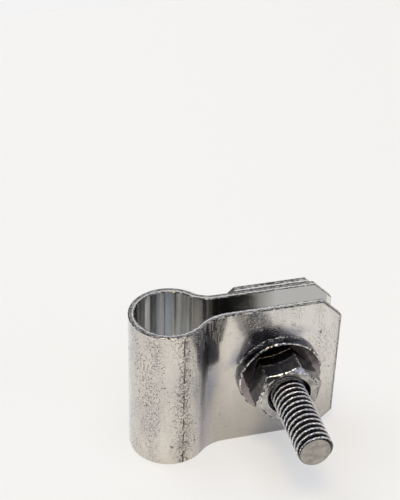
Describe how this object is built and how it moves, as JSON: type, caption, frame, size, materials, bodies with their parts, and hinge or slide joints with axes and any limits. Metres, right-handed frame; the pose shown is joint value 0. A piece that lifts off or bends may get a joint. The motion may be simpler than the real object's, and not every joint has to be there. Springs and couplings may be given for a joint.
{
  "type": "earthing pipe clamp",
  "caption": "Bent sheet strap that closes round an earth rod or pipe, with a clamp plate, a hex bolt, a washer and a nut through its ears.",
  "frame": {"origin": "on the pipe's axis, at the strap's lower edge", "axes": "+Z along the pipe's axis, +X from the pipe towards the ear ends, the bolt along Y with its nut on the -Y side"},
  "size_m": [0.0585, 0.0514, 0.045],
  "materials": {
    "strap_sheet": "bright zinc-plated sheet, finely pitted",
    "plate_sheet": "bright zinc-plated sheet with fine scratches",
    "bolt_steel": "stainless steel, forged and rolled",
    "washer_steel": "polished stainless steel",
    "nut_steel": "polished stainless steel"
  },
  "bodies": {
    "strap": {"pipe_strap": "strap_sheet", "flat_washer": "washer_steel"},
    "nut": {"hex_nut": "nut_steel"},
    "bolt": {"hex_bolt": "bolt_steel"},
    "plate": {"clamp_plate": "plate_sheet"}
  },
  "joints": [
    {"name": "bolt_slide", "type": "slide", "parent": "strap", "child": "bolt", "axis": [0, 1, 0], "range_m": [0, 0.021]},
    {"name": "nut_turn", "type": "hinge", "parent": "strap", "child": "nut", "pos_m": [0.03016, 0, 0.0225], "axis": [0, -1, 0], "range_deg": [0, 5041]},
    {"name": "plate_swivel", "type": "hinge", "parent": "bolt", "child": "plate", "pos_m": [0.03016, 0, 0.0225], "axis": [0, 1, 0], "range_deg": [-4, 4]}
  ],
  "couplings": [
    {"joint": "nut_turn", "follows": "bolt_slide", "rad_per_m": 4188.8}
  ]
}
